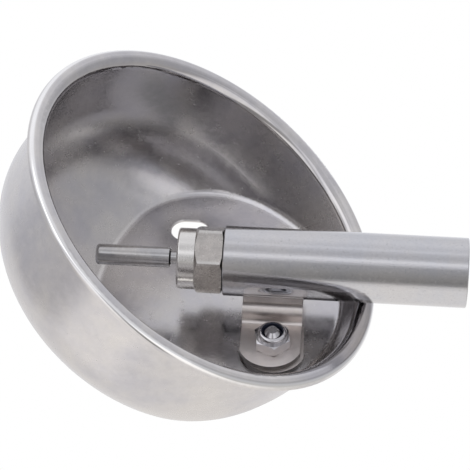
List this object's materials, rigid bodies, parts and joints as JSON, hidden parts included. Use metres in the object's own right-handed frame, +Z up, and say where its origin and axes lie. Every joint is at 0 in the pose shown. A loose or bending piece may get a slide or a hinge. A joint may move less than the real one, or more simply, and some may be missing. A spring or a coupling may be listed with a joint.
{
  "type": "livestock drinking bowl",
  "caption": "Round stainless drinking bowl with a flat back for the wall, a bracketed supply pipe and a pin valve that lets water in when pushed.",
  "frame": {"origin": "on the flat back, which lies against the wall, midway between the two wall slots", "axes": "+Z up along the supply pipe, -Y out of the wall towards the animal, +X to the side of the bracket"},
  "size_m": [0.1548, 0.0926, 0.1781],
  "materials": {
    "satin_steel": "satin drawn stainless steel",
    "polished_steel": "polished stainless pipe with fine drawing marks",
    "turned_steel": "turned stainless steel, matt",
    "pin_steel": "drawn stainless rod",
    "bracket_steel": "satin stainless strip",
    "bright_steel": "bright stainless steel",
    "spring_steel": "stainless wire",
    "nylon": "dark blue nylon",
    "dark_rubber": "black rubber",
    "moulding": "natural acetal moulding"
  },
  "bodies": {
    "bowl": {"bowl_shell": "satin_steel", "weld_stud": "bright_steel", "bracket_spacer": "bracket_steel", "bracket": "bracket_steel", "lock_nut": "bright_steel", "nut_ring": "nylon", "supply_pipe": "polished_steel", "bracket_welds": "bracket_steel", "body_gasket": "dark_rubber", "valve_body": "turned_steel", "seat_ring": "dark_rubber", "valve_spring": "spring_steel", "strainer_cage": "moulding", "strainer_mesh": "spring_steel", "flow_jet": "moulding"},
    "cup": {"spring_cup": "moulding"},
    "ball": {"valve_ball": "turned_steel"},
    "pin": {"valve_pin": "pin_steel"}
  },
  "joints": [
    {"name": "pin_push", "type": "slide", "parent": "bowl", "child": "cup", "axis": [0, 0, 1], "range_m": [0, 0.002], "stiffness_N_per_m": 1500, "springref_m": -0.001, "deforming": ["valve_spring"]},
    {"name": "pin_tilt_side", "type": "hinge", "parent": "cup", "child": "ball", "pos_m": [0, -0.0249, 0.0126], "axis": [0, 1, 0], "range_deg": [-7, 7], "stiffness_Nm_per_rad": 0.1},
    {"name": "pin_tilt_front", "type": "hinge", "parent": "ball", "child": "pin", "pos_m": [0, -0.0249, 0.0126], "axis": [1, 0, 0], "range_deg": [-7, 7], "stiffness_Nm_per_rad": 0.1}
  ]
}
